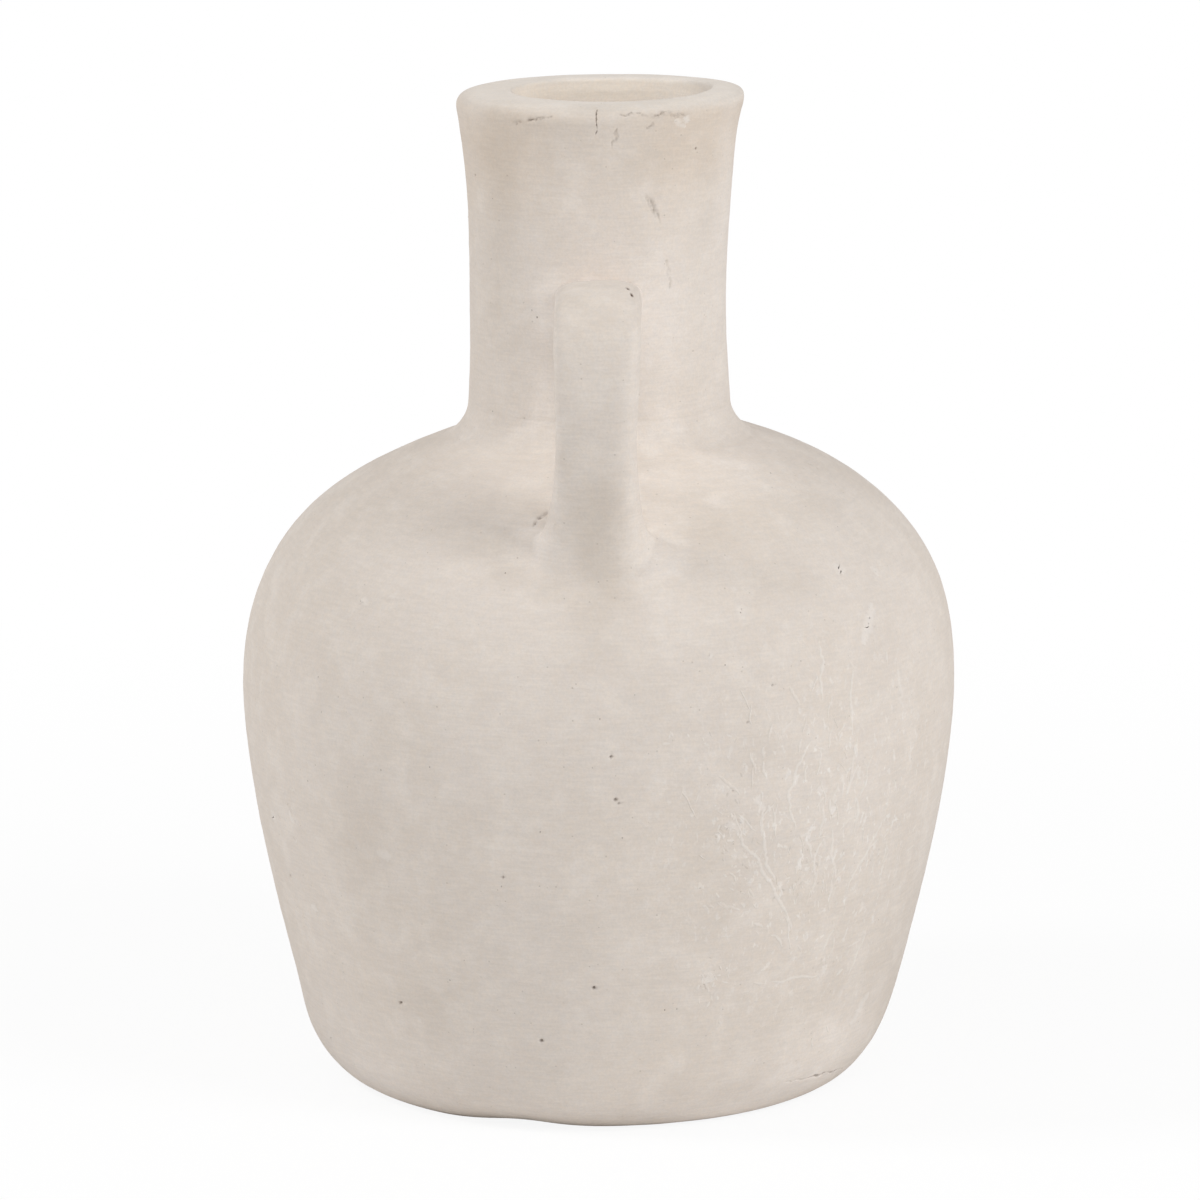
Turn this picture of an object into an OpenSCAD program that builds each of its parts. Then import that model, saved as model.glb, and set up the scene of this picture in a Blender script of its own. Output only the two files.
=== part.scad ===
// Clay jug vase with one strap handle, in the pieces a potter joins while the clay is leather-hard.
// Millimetres, +Z up, origin at the centre of the foot. The handle faces -Y.

/* [Base disc] */
// Radius of the flat foot
foot_r = 79; // [68:1:84]
// Thickness of the slab floor, and height of its seam with the wall
floor_t = 10; // [7:0.5:13]
// Length of the roll from the foot into the heel
heel_roll = 9.5; // [6:0.5:12]
// Steepness at which that roll leaves the table, in degrees
roll_angle = 12; // [5:1:20]

/* [Body wall] */
// Outside radius where the rounded heel ends
heel_r = 98; // [93:1:104]
// Height where the rounded heel ends
heel_h = 31; // [26:1:38]
// Steepness of the wall there, in degrees
heel_angle = 75; // [68:1:82]
// Largest outside radius
belly_r = 115; // [109:1:128]
// Height of the largest radius
belly_h = 128; // [115:1:138]
// Height of the neck's seat
seat_h = 211; // [202:1:222]
// Slope of the shoulder at the neck, in degrees
shoulder_slope = 17; // [10:1:24]
// Thickness of the belly and the shoulder
wall_t = 10; // [7:0.5:13]
// Width of the wall's foot on the slab
wall_foot_w = 12; // [9:0.5:15]

/* [Neck] */
// Outside radius at the seat
neck_foot_r = 42.5; // [38:0.5:46]
// Outside radius that the waist is drawn towards
neck_waist_r = 40; // [37:0.5:43]
// Outside radius under the lip
neck_top_r = 45; // [42:0.5:49]
// Height from the seat to the lip's seam
neck_h = 104; // [90:1:120]
// Radius of the bore
mouth_r = 30; // [25:0.5:33]

/* [Rim coil] */
// Height of the lip above its seam
lip_h = 5; // [4:0.5:9]
// How far the lip stands out past the neck
lip_out = 0.4; // [0:0.1:1.5]
// Squareness of the lip's rounded section, towards the outside
lip_square = 2.3; // [2:0.1:4]
// Squareness of the same section towards the bore
lip_bore_square = 4; // [2:0.1:6]

/* [Handle strap] */
// Height of the strap's middle line at the neck
strap_top_h = 260; // [245:1:275]
// Rise of the arm from the neck, in degrees
arm_rise = 6; // [0:1:15]
// How far the strap's farthest point stays inside the belly's largest radius
elbow_inset = 14; // [8:1:22]
// Height of that farthest point
elbow_h = 238; // [228:1:244]
// How far the strap's end on the shoulder stays inside that radius
strap_foot_inset = 26; // [20:1:34]
// Inward lean of the strap at the shoulder, in degrees
strap_lean = 22; // [5:1:35]
// Width of the strap at the neck
strap_top_w = 27.5; // [22:0.5:34]
// Width of the strap at the shoulder, halfway through its thickness
strap_foot_w = 24; // [18:0.5:30]
// How far each side leans in there towards the outer face
strap_draw = 2.8; // [0:0.2:4]
// Thickness of the strap
strap_t = 11; // [8:0.5:14]
// Squareness of the strap's section
strap_square = 3; // [2:0.1:4]

/* [Luting coils] */
// Height of the neck coil on the neck
neck_coil_up = 8; // [6:0.5:14]
// Width of the neck coil on the shoulder
neck_coil_out = 7; // [6:0.5:14]
// Flare of the handle's upper coil over the neck
upper_flare = 3; // [2:0.5:8]
// Length of the upper coil along the strap
upper_coil_l = 14; // [6:0.5:18]
// Flare of the handle's lower coil over the shoulder
lower_flare = 6; // [4:0.5:12]
// Length of the lower coil along the strap
lower_coil_l = 20; // [10:0.5:22]

/* [Hidden] */

clay = "#d5ccc3";
$fn = 96;
curve_steps = 16;
strap_steps = 14;
strap_sides = 32;
coil_steps = 10;
// How full each outside curve is: the share of its span over which it keeps its end's direction
heel_fullness = 0.5;
low_fullness = 0.35;
high_fullness = 0.62;
shoulder_fullness = 0.59;
neck_fullness = 0.28;
arm_fullness = 0.6;
elbow_fullness = 1.1;
run_fullness = 0.35;
foot_fullness = 0.45;
// A cut runs past the face that it opens
cut = 1;
// A coil starts this far inside the strap, and its face this far off the corner that it fills
coil_bite = 0.4;
// The strap and its coils run this far into the wall, which cuts them off
sink = 7;
// How fast a coil's section loses the strap's squareness as it grows
rounding = 4;
// The shoulder's steepness is measured over this distance to either side
slope_step = 1;

rim_seam_h = seat_h + neck_h;
strap_reach = belly_r - elbow_inset;
strap_foot_r = belly_r - strap_foot_inset;

// Curves are cubic, drawn in the [radius, height] plane
function bezier(p, t) =
    pow(1 - t, 3) * p[0] + 3 * pow(1 - t, 2) * t * p[1] + 3 * (1 - t) * t * t * p[2] + pow(t, 3) * p[3];
function heading(p, t) =
    let (d = pow(1 - t, 2) * (p[1] - p[0]) + 2 * (1 - t) * t * (p[2] - p[1]) + t * t * (p[3] - p[2]))
    d / norm(d);
// Length of a curve, as its first or last stretch would give it
function start_length(p) = 3 * norm(p[1] - p[0]);
function end_length(p) = 3 * norm(p[3] - p[2]);
function curve(p) = [for (i = [0:curve_steps]) bezier(p, i / curve_steps)];
function left_of(d) = [-d[1], d[0]];
function inset(p, by) =
    [for (i = [0:curve_steps]) bezier(p, i / curve_steps) + by * left_of(heading(p, i / curve_steps))];
function along(angle) = [cos(angle), sin(angle)];
function swapped(points) = [for (p = points) [p[1], p[0]]];
// A sine or cosine, squared off for rounded sections that are fuller than an ellipse
function square_off(v, squareness) = sign(v) * pow(abs(v), 2 / squareness);

// Outside of the vessel, from the foot to the neck's seat
foot_point = [foot_r, 0];
heel_point = [heel_r, heel_h];
belly_point = [belly_r, belly_h];
seat_point = [neck_foot_r, seat_h];
heel_pull = heel_fullness * heel_h * along(heel_angle);
heel_curve = [foot_point, foot_point + heel_roll * along(roll_angle), heel_point - heel_pull, heel_point];
low_pull = [0, low_fullness * (belly_h - heel_h)];
low_curve = [heel_point, heel_point + heel_pull, belly_point - low_pull, belly_point];
high_pull = [0, high_fullness * (seat_h - belly_h)];
shoulder_pull = shoulder_fullness * (belly_r - neck_foot_r) * along(-shoulder_slope);
high_curve = [belly_point, belly_point + high_pull, seat_point + shoulder_pull, seat_point];
vessel_points = concat(curve(heel_curve), curve(low_curve), curve(high_curve));

// Outside of the neck
neck_pull = neck_fullness * neck_h;
neck_curve = [seat_point, [neck_waist_r, seat_h + neck_pull],
              [neck_waist_r, rim_seam_h - neck_pull], [neck_top_r, rim_seam_h]];

// Inside of the wall, which stands on the slab and follows the outside one wall's thickness in
slab_edge_r = lookup(floor_t, swapped(curve(heel_curve)));
floor_point = [slab_edge_r - wall_foot_w, floor_t];
inner_low = inset(low_curve, wall_t);
inner_high = inset(high_curve, wall_t);
throat_h = inner_high[curve_steps][1];

function shoulder_h(r) = lookup(r, curve(high_curve));
function shoulder_fall(r) = (shoulder_h(r - slope_step) - shoulder_h(r + slope_step)) / (2 * slope_step);
function neck_r(h) = lookup(h, swapped(curve(neck_curve)));

module vessel_section() polygon(concat([[0, 0]], vessel_points, [[0, seat_h]]));

module cavity_section() polygon(concat(
    [[0, floor_t], floor_point], inner_low, inner_high,
    [[mouth_r, throat_h], [mouth_r, seat_h + cut], [0, seat_h + cut]]));

module neck_section() polygon(concat([[0, seat_h]], curve(neck_curve), [[0, rim_seam_h]]));

// Arch of the lip, from its outer edge over the crest to the bore
module lip_section() {
    outer_r = neck_top_r + lip_out;
    half_w = (outer_r - mouth_r) / 2;
    polygon([for (a = [0:180 / (2 * curve_steps):180])
        let (squareness = a < 90 ? lip_square : lip_bore_square)
        [mouth_r + half_w * (1 + square_off(cos(a), squareness)),
         rim_seam_h + lip_h * square_off(sin(a), squareness)]]);
}

// Concave fillet from the neck's side to the shoulder, with the corner behind it filled
module neck_coil_section() {
    top = [neck_r(seat_h + neck_coil_up), seat_h + neck_coil_up];
    edge_r = neck_foot_r + neck_coil_out;
    edge = [edge_r, shoulder_h(edge_r)];
    corner = seat_point + [coil_bite, coil_bite];
    polygon(concat(curve([top, (top + corner) / 2, (edge + corner) / 2, edge]),
                   [[mouth_r, edge[1]], [mouth_r, top[1]]]));
}

// Middle line of the strap: an arm out from the neck and round the elbow, then a run down to the shoulder
strap_start = [neck_r(strap_top_h), strap_top_h];
strap_elbow = [strap_reach, elbow_h];
strap_end = [strap_foot_r, shoulder_h(strap_foot_r)];
arm_pull = arm_fullness * (strap_reach - strap_start[0]) * along(arm_rise);
elbow_pull = [0, elbow_fullness * (strap_top_h - elbow_h)];
run_drop = elbow_h - strap_end[1];
arm_curve = [strap_start, strap_start + arm_pull, strap_elbow + elbow_pull, strap_elbow];
run_curve = [strap_elbow, strap_elbow - [0, run_fullness * run_drop],
             strap_end + foot_fullness * run_drop * along(90 - strap_lean), strap_end];
arm_heading = heading(arm_curve, 0);
foot_heading = heading(run_curve, 1);

// A station on the strap: [place of its middle, heading, width, how far each side leans in]
function strap_w(share) = strap_top_w + (strap_foot_w - strap_top_w) * share;
function arm_station(t) = [bezier(arm_curve, t), heading(arm_curve, t), strap_w(t / 2), 0];
function run_station(t) = [bezier(run_curve, t), heading(run_curve, t), strap_w((1 + t) / 2), strap_draw * t];
strap_stations = concat(
    [[strap_start - sink * arm_heading, arm_heading, strap_top_w, 0]],
    [for (i = [0:strap_steps]) arm_station(i / strap_steps)],
    [for (i = [1:strap_steps]) run_station(i / strap_steps)],
    [[strap_end + sink * foot_heading, foot_heading, strap_foot_w, strap_draw]]);

// One point of the strap's section, grown outwards by the given amount: flat, then in its place.
// The more it is grown, the nearer it comes to a plain oval
function section_point(station, angle, grow) =
    let (squareness = 2 + (strap_square - 2) * strap_t / (strap_t + rounding * max(0, grow)),
         deep = square_off(sin(angle), squareness))
    [(station[2] / 2 - station[3] * deep + grow) * square_off(cos(angle), squareness),
     (strap_t / 2 + grow) * deep];
function strap_point(station, angle, grow) =
    let (flat = section_point(station, angle, grow),
         middle = station[0] + flat[1] * left_of(station[1]))
    [flat[0], -middle[0], middle[1]];
function strap_ring(station) =
    [for (k = [0:strap_sides - 1]) strap_point(station, 360 * k / strap_sides, 0)];

// Skin over a row of rings that have the same number of points, closed at both ends
module skin(rings) {
    n = len(rings[0]);
    last = (len(rings) - 1) * n;
    sides = [for (i = [0:len(rings) - 2], k = [0:n - 1])
        let (a = i * n + k, b = i * n + (k + 1) % n)
        each [[a, a + n, b + n], [a, b + n, b]]];
    start_cap = [for (k = [0:n - 1]) k];
    end_cap = [for (k = [n - 1:-1:0]) last + k];
    polyhedron([for (ring = rings) each ring], concat(sides, [start_cap, end_cap]));
}

module strap_solid() skin([for (station = strap_stations) strap_ring(station)]);

// How far a coil stands out from the strap at a distance from the wall: a concave quarter oval
function coil_grow(distance, flare, length) =
    let (near = 1 - max(0, min(1, distance / length)))
    flare * (1 - sqrt(1 - near * near)) - coil_bite;
// How much farther off the wall lies beside the strap's middle. A wall is [radius across the strap,
// how fast it falls away over that radius, how much it tilts against the strap's end]
function wall_fall(flat, wall) = wall[1] * flat[0] * flat[0] / (2 * wall[0]) + wall[2] * flat[1];
function wall_tilt(normal, away) = (left_of(away) * normal) / (away * normal);

// Ring of a coil round the strap. A coil is [flare, length], and a station ends with its distance from the wall
function coil_ring(station, wall, coil) =
    [for (k = [0:strap_sides - 1])
        let (angle = 360 * (k + 0.5) / strap_sides,
             fall = wall_fall(section_point(station, angle, coil[0] / 2), wall))
        strap_point(station, angle, coil_grow(station[4] + fall, coil[0], coil[1]))];

function coil_distance(i, length) = length * (1 - sin(90 * i / coil_steps));

// Walls that cut off the strap and its coils
module vessel_solid() rotate_extrude() vessel_section();
module neck_solid() rotate_extrude() neck_section();

module base_disc() color(clay) rotate_extrude() intersection() {
    vessel_section();
    square([belly_r, floor_t]);
}

module body_wall() color(clay) rotate_extrude() difference() {
    vessel_section();
    cavity_section();
    square([belly_r, floor_t]);
}

module neck() color(clay) rotate_extrude() difference() {
    neck_section();
    square([mouth_r, rim_seam_h + cut]);
}

module rim_coil() color(clay) rotate_extrude() lip_section();

module neck_seam_coil() color(clay) rotate_extrude() difference() {
    neck_coil_section();
    vessel_section();
    neck_section();
}

module handle_strap() color(clay) difference() {
    strap_solid();
    neck_solid();
    vessel_solid();
}

module upper_handle_coil() color(clay) {
    arm_l = start_length(arm_curve);
    wall = [strap_start[0], 1, wall_tilt([1, 0], arm_heading)];
    rings = [for (i = [coil_steps:-1:0])
        let (distance = coil_distance(i, upper_coil_l))
        concat(arm_station(distance / arm_l), distance)];
    inside = [strap_start - sink * arm_heading, arm_heading, strap_top_w, 0, -sink];
    difference() {
        skin([for (station = concat([inside], rings)) coil_ring(station, wall, [upper_flare, upper_coil_l])]);
        strap_solid();
        neck_solid();
    }
}

module lower_handle_coil() color(clay) {
    run_l = end_length(run_curve);
    fall = shoulder_fall(strap_foot_r);
    wall = [strap_foot_r, fall, -wall_tilt([fall, 1], foot_heading)];
    rings = [for (i = [0:coil_steps])
        let (distance = coil_distance(i, lower_coil_l))
        concat(run_station(1 - distance / run_l), distance)];
    inside = [strap_end + sink * foot_heading, foot_heading, strap_foot_w, strap_draw, -sink];
    difference() {
        skin([for (station = concat(rings, [inside])) coil_ring(station, wall, [lower_flare, lower_coil_l])]);
        strap_solid();
        vessel_solid();
    }
}

base_disc();
body_wall();
neck();
rim_coil();
neck_seam_coil();
handle_strap();
upper_handle_coil();
lower_handle_coil();
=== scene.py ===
import math
from itertools import product

import bpy
import numpy as np
from numpy.linalg import norm
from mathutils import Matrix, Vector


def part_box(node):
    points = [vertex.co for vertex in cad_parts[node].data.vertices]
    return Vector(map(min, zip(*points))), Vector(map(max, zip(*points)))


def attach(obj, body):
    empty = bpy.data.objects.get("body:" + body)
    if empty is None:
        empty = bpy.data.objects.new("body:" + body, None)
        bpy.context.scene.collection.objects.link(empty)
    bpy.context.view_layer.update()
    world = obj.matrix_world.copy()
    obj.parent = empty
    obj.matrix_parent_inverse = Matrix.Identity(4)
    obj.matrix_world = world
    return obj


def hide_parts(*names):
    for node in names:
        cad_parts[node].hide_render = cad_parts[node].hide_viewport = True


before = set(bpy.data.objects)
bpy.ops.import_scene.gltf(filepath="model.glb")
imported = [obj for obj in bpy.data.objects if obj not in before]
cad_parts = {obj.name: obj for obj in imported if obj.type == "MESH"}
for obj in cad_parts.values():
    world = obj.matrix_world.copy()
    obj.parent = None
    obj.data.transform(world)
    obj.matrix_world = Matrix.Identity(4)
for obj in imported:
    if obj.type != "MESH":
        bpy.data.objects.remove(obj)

scene = bpy.context.scene
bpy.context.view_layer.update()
mm = 0.001  # the dictionaries are in millimetres and degrees, the meshes in metres


# Angles run round the vase from the handle, to the right when the handle faces the viewer
def topOf(nodeName):
    return np.array(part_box(nodeName)[1]) / mm


bellyRadius, _, seatHeight = topOf("body_wall")
floorHeight = topOf("base_disc")[2]
seamHeight = topOf("neck")[2]
lipRadius, _, rimHeight = topOf("rim_coil")
strapReach = -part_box("handle_strap")[0].y / mm


def direction(angle):
    return np.array([math.cos(math.radians(angle)), math.sin(math.radians(angle))])


def bezier(p, count=160):
    p = np.array(p, float)
    t = np.linspace(0, 1, count).reshape([-1] + [1] * (p.ndim - 1))
    return (1 - t)**3 * p[0] + 3 * (1 - t)**2 * t * p[1] + 3 * (1 - t) * t**2 * p[2] + t**3 * p[3]


def unit(v):
    return v / np.maximum(norm(v, axis=-1, keepdims=True), 1e-9)


def headings(line):
    return unit(np.gradient(line, axis=0))


def leftOf(d):
    return np.stack([-d[..., 1], d[..., 0]], axis=-1)


def lengthsAlong(line):
    return np.concatenate([[0], np.cumsum(norm(np.diff(line, axis=0), axis=1))])


def placesAt(line, stops):
    lengths = lengthsAlong(line)
    return np.column_stack([np.interp(stops, lengths, part) for part in line.T])


def respaced(line, step):
    total = lengthsAlong(line)[-1]
    return placesAt(line, np.linspace(0, total, max(2, round(total / step) + 1)))


def smoothStep(low, high, value):
    share = np.clip((value - low) / (high - low), 0, 1)
    return share * share * (3 - 2 * share)


def squareOff(v, squareness):
    return np.sign(v) * np.abs(v) ** (2 / squareness)


noiseCells = 24  # the noise repeats after this many cells


def clayNoise(points, size, seed):  # soft lumps from -1 to 1
    lattice = np.random.default_rng(seed).uniform(-1, 1, 3 * [noiseCells])
    low = np.floor(points / size).astype(int)
    share = points / size - low
    share = share * share * (3 - 2 * share)
    total = np.zeros(points.shape[:-1])
    for corner in product((0, 1), repeat=3):
        weight = np.prod(np.where(np.array(corner) == 1, share, 1 - share), axis=-1)
        i, j, k = np.moveaxis((low + np.array(corner)) % noiseCells, -1, 0)
        total += weight * lattice[i, j, k]
    return total


# Outside of the vase as one line, from the foot over the lip to the bore
vessel = {
    "footRadius": 79, "heelRoll": 9.5, "rollAngle": 12,
    "heel": (98, 31), "heelSteepness": 75, "bellyHeight": 128,
    "shoulderSlope": 17, "neckFoot": 42.5,
    "neckWaist": 40, "neckFullness": 0.28,
    "bore": 30.4, "thumbed": (0.2, 10),   # the mouth is widened by this, over this depth
    "heelFullness": 0.5, "lowFullness": 0.35, "highFullness": 0.62, "shoulderFullness": 0.59,
    "coilUp": 8, "coilOut": 7,   # luting coil in the corner under the neck
    "lipSquare": 2.3, "lipInsideSquare": 10,
    "softness": 1.0,   # how far a wet thumb rounds every edge of the outside
    "wall": 10, "wallFoot": 12,
}

foot = np.array([vessel["footRadius"], 0])
heel = np.array(vessel["heel"])
belly = np.array([bellyRadius, vessel["bellyHeight"]])
seat = np.array([vessel["neckFoot"], seatHeight])
heelPull = vessel["heelFullness"] * heel[1] * direction(vessel["heelSteepness"])
lowPull = np.array([0, vessel["lowFullness"] * (belly[1] - heel[1])])
highPull = np.array([0, vessel["highFullness"] * (seat[1] - belly[1])])
shoulderPull = vessel["shoulderFullness"] * (belly[0] - seat[0]) * direction(-vessel["shoulderSlope"])
neckPull = vessel["neckFullness"] * (seamHeight - seatHeight)
rollPull = vessel["heelRoll"] * direction(vessel["rollAngle"])
heelLine = bezier([foot, foot + rollPull, heel - heelPull, heel])
lowLine = bezier([heel, heel + heelPull, belly - lowPull, belly])
highLine = bezier([belly, belly + highPull, seat + shoulderPull, seat])
neckLine = bezier([seat, [vessel["neckWaist"], seatHeight + neckPull],
                   [vessel["neckWaist"], seamHeight - neckPull], [lipRadius, seamHeight]])


def shoulderHeight(radius):
    return np.interp(radius, highLine[::-1, 0], highLine[::-1, 1])


def neckRadius(height):
    return np.interp(height, neckLine[:, 1], neckLine[:, 0])


coilTop = np.array([neckRadius(seatHeight + vessel["coilUp"]), seatHeight + vessel["coilUp"]])
coilEdge = np.array([seat[0] + vessel["coilOut"], shoulderHeight(seat[0] + vessel["coilOut"])])
coilLine = bezier([coilEdge, (coilEdge + seat) / 2, (coilTop + seat) / 2, coilTop], 40)
lipTurn = np.radians(np.linspace(0, 180, 90))
lipHalf = (lipRadius - vessel["bore"]) / 2
lipSquare = np.where(np.cos(lipTurn) > 0, vessel["lipSquare"], vessel["lipInsideSquare"])
lipLine = np.column_stack([
    vessel["bore"] + lipHalf * (1 + squareOff(np.cos(lipTurn), lipSquare)),
    seamHeight + (rimHeight - seamHeight) * squareOff(np.sin(lipTurn), lipSquare)])


def softened(line, softness, step=0.2):
    line = respaced(line, step)
    reach = int(3 * softness / step)
    window = np.exp(-0.5 * (np.arange(-reach, reach + 1) * step / softness) ** 2)
    window /= window.sum()
    before = 2 * line[0] - line[reach:0:-1]
    after = 2 * line[-1] - line[-2:-reach - 2:-1]
    padded = np.vstack([before, line, after])
    return np.column_stack([np.convolve(part, window, "valid") for part in padded.T])


outline = softened(np.vstack([
    heelLine, lowLine[1:], highLine[1:][highLine[1:, 0] > coilEdge[0]], coilLine,
    neckLine[neckLine[:, 1] > coilTop[1]], lipLine[1:]]), vessel["softness"])
outlineLengths = lengthsAlong(outline)
crest = int(np.argmax(outline[:, 1]))


def stopAt(height):  # length along the outline up to a height on the outside
    return np.interp(height, outline[:crest, 1], outlineLengths[:crest])


def onWall(angle, height):
    radius, z = placesAt(outline, [stopAt(height)])[0]
    cosine, sine = direction(angle)
    return np.array([radius * sine, -radius * cosine, z])


# Scars of making and wear: from one (angle, height) to another, then half width, depth and darkness, which
# is dirt and painted shade in the hollow
scars = {
    "pinholes": [  # angle, height, half width, depth
        (1.9, 128, 0.8, 0.9), (2.6, 114.4, 0.9, 0.9), (3.2, 113.2, 0.6, 0.5), (-15.4, 88.2, 0.7, 0.7),
        (-38.3, 40.4, 0.9, 1), (-0.8, 51.9, 1, 1), (-10.4, 33.1, 1, 1), (-65.1, 73.2, 0.8, 0.8),
        (28.2, 147.3, 0.6, 0.6), (23.6, 136.8, 0.6, 0.6), (-66.3, 294.2, 0.6, 0.7), (44.1, 304.3, 0.6, 0.7),
        (140, 96, 0.9, 0.9), (-128, 150, 0.8, 0.8), (176, 62, 1, 1), (-160, 118, 0.7, 0.7),
        (112, 44, 0.9, 0.9), (160, 286, 0.6, 0.6), (-118, 262, 0.6, 0.6),
    ],
    # pinholes get this much darkness: painted shade in the holes, with dirt
    "pinholeDirtAndShade": 1.1,
    "gouges": [
        (-14.2, 193.6, -12, 197.4, 1.7, 0.5, 0.5), (-13.8, 194.4, -12.4, 196.6, 0.7, 0.5, 0.8),
        (19.6, 291.6, 26.8, 282.8, 1.9, 0.3, 0.28), (22.6, 288, 26, 283.8, 0.7, 0.3, 0.5),
        (31, 269.6, 33.2, 261, 1.3, 0.3, 0.3), (74.2, 201.2, 74.4, 199.4, 0.6, 0.4, 0.45),
        (20.9, 117, 21.6, 113.4, 0.5, 0.4, 0.5), (7.4, 311.6, 4.9, 307.2, 1.3, 0.3, 0.4),
        (150, 205, 154, 200, 0.7, 0.5, 0.4), (-140, 240, -137, 235, 0.7, 0.5, 0.4),
    ],
    "cracks": [
        (-1.8, 320, -0.8, 316.8, 0.5, 0.7, 0.7), (0.2, 320, -0.8, 316.8, 0.45, 0.6, 0.5),
        (-0.8, 318.6, -0.7, 317, 0.42, 0.3, 1), (-0.7, 317, -0.6, 315.4, 0.38, 0.3, 1),
        (-0.6, 315.4, -0.9, 313.8, 0.34, 0.3, 1), (-0.9, 313.8, -0.8, 312.2, 0.4, 0.3, 1),
        (-0.8, 312.2, -1.3, 310.6, 0.34, 0.3, 1),
        (-35, 313.6, -26, 315, 0.8, 0.5, 0.55), (-36, 314, -24, 315.4, 1.7, 0.2, 0.25),
        (-27, 315, -18.5, 316.5, 0.8, 0.3, 0.4),
        (8, 317.7, 17, 316.8, 0.8, 0.3, 0.45), (19.5, 316.3, 29, 317.1, 0.9, 0.4, 0.6),
        (18, 316, 31, 316.6, 1.8, 0.2, 0.25), (29, 315.9, 39.5, 314.6, 1.6, 0.4, 0.35),
        (19.2, 312, 22.4, 314, 0.9, 0.3, 0.45),
        (40.5, 11.4, 48, 10.6, 0.7, 0.4, 0.1), (48, 10.6, 55, 9.4, 0.9, 1.4, 0.65),
        (55, 9.4, 63.6, 7.4, 0.8, 1.3, 0.7),
        (120, 315.2, 131, 315, 0.7, 0.8, 0.4), (-150, 10.4, -136, 9.8, 0.8, 1.1, 0.5),
    ],
    "onStrap": [  # from and to (x, y, z), half width, depth, dirt
        ((9, -88.9, 269), (9.2, -89.6, 268.9), 1.05, 0.6, 1.8),
        ((10.2, -92.7, 267.7), (10.3, -93.4, 267.4), 1.05, 0.6, 1.8),
        ((-8.7, -104.6, 224.6), (-4.4, -105, 222.8), 0.9, 0.25, 0.3),
        ((-4.4, -105, 222.8), (-0.5, -104.8, 220.6), 0.8, 0.2, 0.25),
        ((-6.3, -103.9, 217.7), (-2.6, -104, 216.5), 0.8, 0.2, 0.25),
    ],
}
wallScars = [(onWall(a, h), onWall(a, h), w, d, scars["pinholeDirtAndShade"]) for a, h, w, d in scars["pinholes"]]
wallScars += [(onWall(a, h), onWall(b, k), w, d, dirtAndShade)
              for a, h, b, k, w, d, dirtAndShade in scars["gouges"] + scars["cracks"]]
scarList = wallScars + [(np.array(a), np.array(b), w, d, dirtAndShade) for a, b, w, d, dirtAndShade in scars["onStrap"]]

# Where the wet clay was pushed out of true: place and spread as (angle, height), then how far out and up
pushes = [
    ((90, 200), (62, 26), 0.6, 0.9), ((-90, 200), (62, 26), -0.3, -1.3),
    ((80, 168), (60, 22), 1.2, 0), ((-80, 168), (60, 24), -0.7, 0),
    ((-80, 14), (40, 12), 1.4, 0), ((55, 4), (34, 9), -1, 0.6),
    ((-19, 0), (10, 6), -1, 1.2), ((-60, 300), (50, 60), 0.3, 0),
    ((90, 252), (55, 26), -0.6, 0), ((-90, 252), (55, 26), 0.5, 0),
    ((85, 319), (45, 7), 0.9, 0.35), ((88, 318), (26, 2.2), 0.5, 0.8),
    ((0, 320), (55, 7), 0, -0.6),
]
making = {
    "mouthShift": 3.8, "mouthFrom": 225,   # the bore leans to the right towards the mouth
    "rimTilt": 0.45, "rimTiltFrom": 285,   # the rim is higher on the right
    "gripRadii": (20, 70), "gripHeights": (215, 260),   # pushes fade near the axis, but not at the mouth
    "lumps": [(46, 0.32, 3), (17, 0.10, 7), (6, 0.035, 11)],   # size, height, seed
    "rings": [(7.3, 0.018), (3.1, 0.01)],   # throwing lines: spacing, height
    "ringDrift": (60, 19),   # size and seed of their drift up and down
    "wander": 0.75, "sways": [(2.6, 1.0), (0.9, 0.45)], "swaySeeds": (23, 29, 31),   # how scars stray
    "gaps": (1.1, 37), "gapEdge": (-0.9, 0.1),   # size, seed and edge of the gaps that break up a scar
    # a scar's darkness is dirt with painted shade in its hollow
    "scarWidth": 0.85, "scarDirtAndShade": 0.8, "scarEnds": 0.35,   # shares of width, dirt and width at the ends
    "shortScar": 3,   # a shorter one strays less and has blunt ends
}


def pushed(points):  # the same pull on every piece, so that the joints stay shut
    points = np.array(points, float)
    radius = np.hypot(points[..., 0], points[..., 1])
    angle = np.degrees(np.arctan2(points[..., 0], -points[..., 1]))
    height = points[..., 2].copy()
    outward = points[..., :2] / np.maximum(radius, 1e-6)[..., None]
    outer = smoothStep(*making["gripRadii"], radius)
    grip = outer + (1 - outer) * smoothStep(*making["gripHeights"], height)
    for (atAngle, atHeight), (overAngle, overHeight), out, up in pushes:
        away = (angle - atAngle + 180) % 360 - 180
        weight = grip * np.exp(-(away / overAngle) ** 2 - ((height - atHeight) / overHeight) ** 2)
        points[..., :2] += (out * weight)[..., None] * outward
        points[..., 2] += up * weight
    inside = 1 - smoothStep(vessel["bore"] + 1, lipRadius - 1, radius)
    widened, depth = vessel["thumbed"]
    thumbed = widened * inside * smoothStep(rimHeight - depth, rimHeight, height)
    points[..., :2] += thumbed[..., None] * outward
    points[..., 0] += making["mouthShift"] * inside * smoothStep(making["mouthFrom"], rimHeight, height)
    tilt = math.tan(math.radians(making["rimTilt"]))
    points[..., 2] += tilt * points[..., 0] * smoothStep(making["rimTiltFrom"], rimHeight, height)
    points[..., 2] = np.maximum(points[..., 2], 0)  # nothing under the floor
    return points


# the darkness returned for scars is dirt with painted shade in their hollows
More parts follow.
